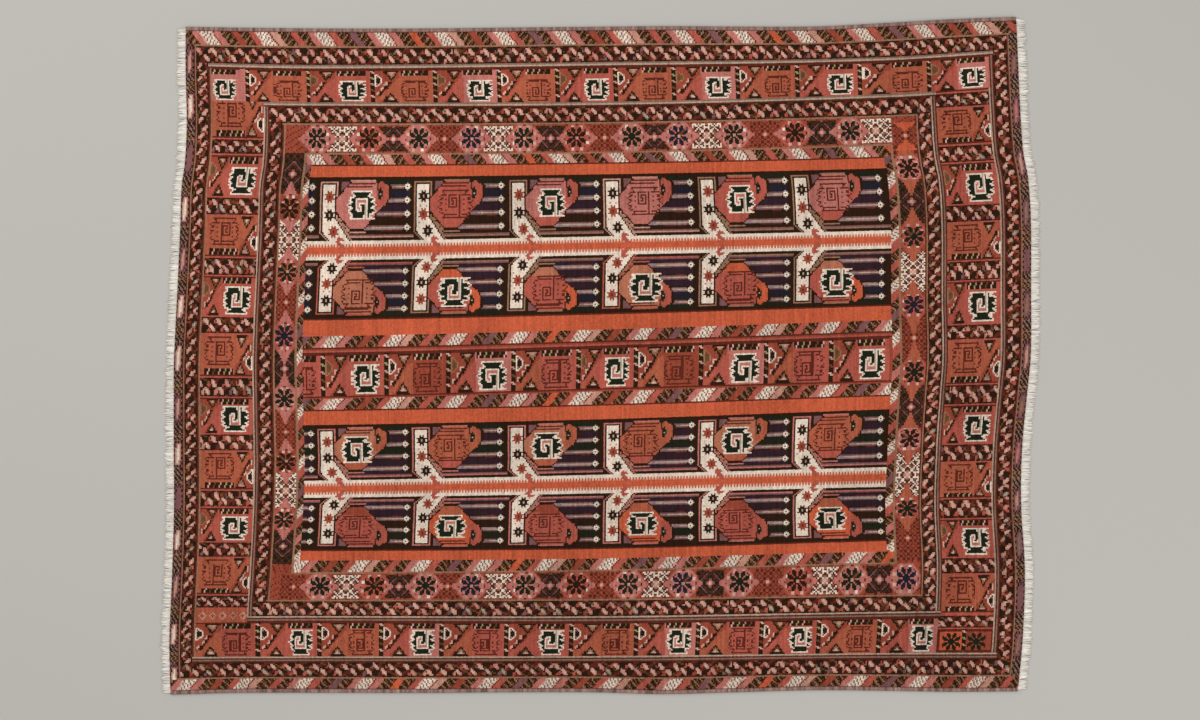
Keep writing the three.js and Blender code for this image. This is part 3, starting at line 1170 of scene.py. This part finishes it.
def closedSheet(name, grid, level, faceUp, folds, knots, material):
    # a grid of points, with walls at its rim down or up to a level, each in its own knot's yarn,
    # and a plain face that closes it there
    down, across = grid.shape[0] - 1, grid.shape[1] - 1
    number = np.arange((down + 1) * (across + 1)).reshape(down + 1, across + 1)
    knot = np.arange(down * across).reshape(down, across)
    order = (0, 1, 2, 3) if faceUp else (0, 3, 2, 1)
    quads = np.stack(
        [number[:-1, :-1], number[1:, :-1], number[1:, 1:], number[:-1, 1:]], axis=-1
    ).reshape(-1, 4)
    rim = np.concatenate([number[:, 0], number[-1, 1:], number[-2::-1, -1], number[0, -2:0:-1]])
    beside = np.concatenate([knot[:, 0], knot[-1, :], knot[::-1, -1], knot[0, ::-1]])
    points = grid.reshape(-1, 3)
    rimPoints = points[rim].copy()
    rimPoints[:, 2] = level * mm
    first, count = len(points), len(rim)
    here = np.arange(count)
    following = (here + 1) % count
    walls = np.stack([rim, first + here, first + following, rim[following]], axis=-1)
    closing = first + (here[::-1] if faceUp else here)
    faces = quads[:, order].tolist() + walls[:, order].tolist() + [closing.tolist()]
    uv = foldedMap(across, down, folds)
    uv = np.concatenate([uv, uv[beside]]).reshape(-1, 2)
    uv = np.concatenate([uv, np.full((count, 2), 0.5)])
    yarn, tone = yarnNumber[knots].ravel(), knotTone[knots].ravel()
    yarn = np.concatenate([yarn, yarn[beside], [yarnNumber[0, 0]]])
    tone = np.concatenate([tone, tone[beside], [0]])
    return meshPiece(name, np.concatenate([points, rimPoints]), faces, material, yarn, tone, uv)


def pileStrip(name, start, stop):
    corners = slice(start, stop + 1)
    grid = inFrame(pileX[corners], pileY[corners], pileZ[corners])
    level = cloth["foundation"] - cloth["sunk"]
    return closedSheet(name, grid, level, True, 3, slice(start, stop), pileWool)


stripCount = 5
bounds = [round(rows * n / stripCount) for n in range(stripCount + 1)]
strips = [pileStrip(f"pile_{n + 1}", a, b) for n, (a, b) in enumerate(zip(bounds, bounds[1:]))]
for strip in strips:
    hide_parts("knotted_cloth")
print("pile made:", sum(len(strip.data.polygons) for strip in strips), "faces")


# Foundation: warps and wefts, with the backs of the knots on its underside


def foundationCloth():
    step, ridge = 2, 0.35  # one face for two knots each way, and its unevenness in millimetres
    i = np.unique(np.append(np.arange(0, columns, step), columns))
    j = np.unique(np.append(np.arange(0, rows, step), rows))
    corners, knots = np.ix_(j, i), np.ix_(j[:-1], i[:-1])
    x, y = cornerX[corners], cornerY[corners]
    grid = inFrame(x, y, chance.uniform(0, ridge, x.shape))
    return closedSheet("foundation", grid, cloth["foundation"], False, 1, knots, backWool)


foundation = foundationCloth()
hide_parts("knotted_cloth")
print("foundation made")


# Selvedges, overcast with wool in slanting turns

selvedge = {
    "length": 1560,
    "height": 5.5,
    "turn": 3.4,  # along the edge, from one turn of wool to the next
    "relief": 0.45,
    "uneven": 0.12,
    "slant": 1.6,
    "sides": 12,
    "ringsPerTurn": 4,
}


def tubes(rings):
    # closed tubes in one mesh, each through its own rings of points
    count, along, sides = rings.shape[:3]
    ring, k = np.meshgrid(np.arange(along - 1), np.arange(sides), indexing="ij")
    a = ring * sides + k
    b = ring * sides + (k + 1) % sides
    quads = np.stack([a, b, b + sides, a + sides], axis=-1).reshape(-1, 4)
    faces = []
    for n in range(count):
        base = n * along * sides
        faces += (quads + base).tolist()
        faces.append((base + np.arange(sides)[::-1]).tolist())
        faces.append((base + (along - 1) * sides + np.arange(sides)).tolist())
    return rings.reshape(-1, 3), faces


def makeSelvedge(name, side):
    ringCount = int(selvedge["length"] / selvedge["turn"] * selvedge["ringsPerTurn"])
    sideCount = selvedge["sides"]
    x, y = place(np.linspace(0, 1, ringCount), np.full(ringCount, 0 if side == "lower" else 1))
    half = cloth["selvedgeWidth"] / 2
    middle = y + (half if side == "lower" else -half)
    angle = np.linspace(0, 2 * np.pi, sideCount, endpoint=False)
    turn = np.arange(ringCount)[:, None] / selvedge["ringsPerTurn"]
    phase = turn + selvedge["slant"] * np.cos(angle)[None] / selvedge["turn"]
    swell = selvedge["relief"] * (np.abs(np.sin(np.pi * phase)) - 1)
    uneven = chance.normal(0, selvedge["uneven"], ringCount)[:, None]
    wide = half + swell + uneven
    tall = selvedge["height"] / 2 + swell + uneven * 0.5
    z = selvedge["height"] / 2 + tall * np.sin(angle)[None]
    across = middle[:, None] + wide * np.cos(angle)[None]
    along = x[:, None] + np.zeros_like(across)
    rings = inFrame(along, across, np.maximum(z, 0.02))[None]
    points, faces = tubes(rings)
    turnTone = chance.normal(0, 0.6, int(turn.max()) + 3)
    tone = np.repeat(turnTone[(turn[:-1, 0]).astype(int)], sideCount)
    uv = foldedMap(ringCount - 1, sideCount, 9).reshape(sideCount, ringCount - 1, 4, 2)
    uv = uv.transpose(1, 0, 2, 3).reshape(-1, 2)
    uv = np.concatenate([uv, np.full((2 * sideCount, 2), 0.5)])
    piece = meshPiece(name, points, faces, selvedgeWool, None, np.append(tone, [0, 0]), uv, True)
    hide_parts("selvedge_" + side)
    return piece


selvedges = [makeSelvedge("overcast_" + side, side) for side in ("lower", "upper")]
print("selvedges made")


# Fringes: cut warp ends, rooted under the last knots

fringe = {
    "ends": 980,  # warp ends at each end of the rug
    "margin": 0.003,  # bare part of the edge at each corner
    "thickness": 2.3,
    "reach": 16.4,
    "ragged": 2.2,
    "lock": 7,  # how many ends lean together
    "lean": 1.7,
    "rootHeight": 1.9,
    "gather": 0.16,  # how strongly a lock draws together
    "wobble": 0.25,
    "taper": 0.45,
    "thinnest": 0.8,  # as parts of the thickness
    "thickest": 1.15,
    "sides": 5,
    "rings": 6,
}


def makeFringe(name, side):
    count, sides, rings = fringe["ends"], fringe["sides"], fringe["rings"]
    v = (np.arange(count) + 0.5 + chance.uniform(-0.3, 0.3, count)) / count
    v = v * (1 - 2 * fringe["margin"]) + fringe["margin"]
    x, y = place(0.0 if side == "left" else 1.0, v)
    out = -1 if side == "left" else 1
    lock = np.arange(count) // fringe["lock"]
    lockLean = chance.normal(0, fringe["lean"], lock.max() + 1)[lock]
    lockReach = chance.normal(0, 0.8, lock.max() + 1)[lock]
    reach = fringe["reach"] + lockReach + chance.normal(0, fringe["ragged"] / 2, count)
    lean = lockLean + chance.normal(0, 0.7, count)
    fromMiddle = (fringe["lock"] - 1) / 2 - np.arange(count) % fringe["lock"]
    gather = fromMiddle * fringe["gather"]
    t = np.linspace(0, 1, rings)[None]
    alongX = x[:, None] + out * (t * (reach[:, None] + 2) - 2)
    wobble = chance.normal(0, fringe["wobble"], (count, rings)) * t
    alongY = y[:, None] + (lean + gather)[:, None] * t**1.3 + wobble
    spread = chance.uniform(fringe["thinnest"], fringe["thickest"], (count, 1))
    radius = fringe["thickness"] / 2 * (1 - fringe["taper"] * t**3) * spread
    layer = chance.uniform(0, 1, (count, 1))
    height = radius + (fringe["rootHeight"] - 0.7) * (1 - t) ** 1.5
    height = height + layer * 1.1 * (1 - t**2 * 0.5)
    angle = np.linspace(0, 2 * np.pi, sides, endpoint=False) + np.pi / 2
    yy = alongY[..., None] + radius[..., None] * np.cos(angle) * out
    zz = height[..., None] + radius[..., None] * np.sin(angle)
    xx = alongX[..., None] + np.zeros_like(yy)
    points, faces = tubes(inFrame(xx, yy, np.maximum(zz, 0.01)))
    tone = np.repeat(chance.normal(0, 0.5, count), (rings - 1) * sides + 2)
    piece = meshPiece(name, points, faces, warpWool, None, tone, None, True)
    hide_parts("fringe_" + side)
    return piece


fringes = [makeFringe("warp_ends_" + side, side) for side in ("left", "right")]
print("fringes made")


# Floor and light

studio = {
    "floor": (186, 183, 178),
    "floorSize": 9,
    "floorLevel": -0.0004,  # just under the rug
    "lamps": {"key_lamp": ((-1.6, 1.4, 2.9), 56), "fill_lamp": ((1.9, -1.2, 2.7), 42)},
    "lampSize": 3.2,
    "world": 0.55,
}

floorMesh = bpy.data.meshes.new("floor")
reach = studio["floorSize"]
corners = [(-reach, -reach, 0), (reach, -reach, 0), (reach, reach, 0), (-reach, reach, 0)]
floorMesh.from_pydata(corners, [], [(0, 1, 2, 3)])
floor = bpy.data.objects.new("floor", floorMesh)
floor.location.z = studio["floorLevel"]
bpy.context.collection.objects.link(floor)
floorFinish = Finish("pale_floor", 0.8)
floorFinish.shader.inputs["Base Color"].default_value = dye(studio["floor"])
floorMesh.materials.append(floorFinish.material)

for name, (spot, power) in studio["lamps"].items():
    light = bpy.data.lights.new(name, "AREA")
    light.energy, light.size = power, studio["lampSize"]
    holder = bpy.data.objects.new(name, light)
    holder.location = spot
    bpy.context.collection.objects.link(holder)
    holder.rotation_euler = (-holder.location).to_track_quat("-Z", "Y").to_euler()
world = bpy.data.worlds.new("studio")
world.use_nodes = True
world.node_tree.nodes["Background"].inputs["Color"].default_value = (1, 0.99, 0.98, 1)
world.node_tree.nodes["Background"].inputs["Strength"].default_value = studio["world"]
bpy.context.scene.world = world
print("floor and light set")
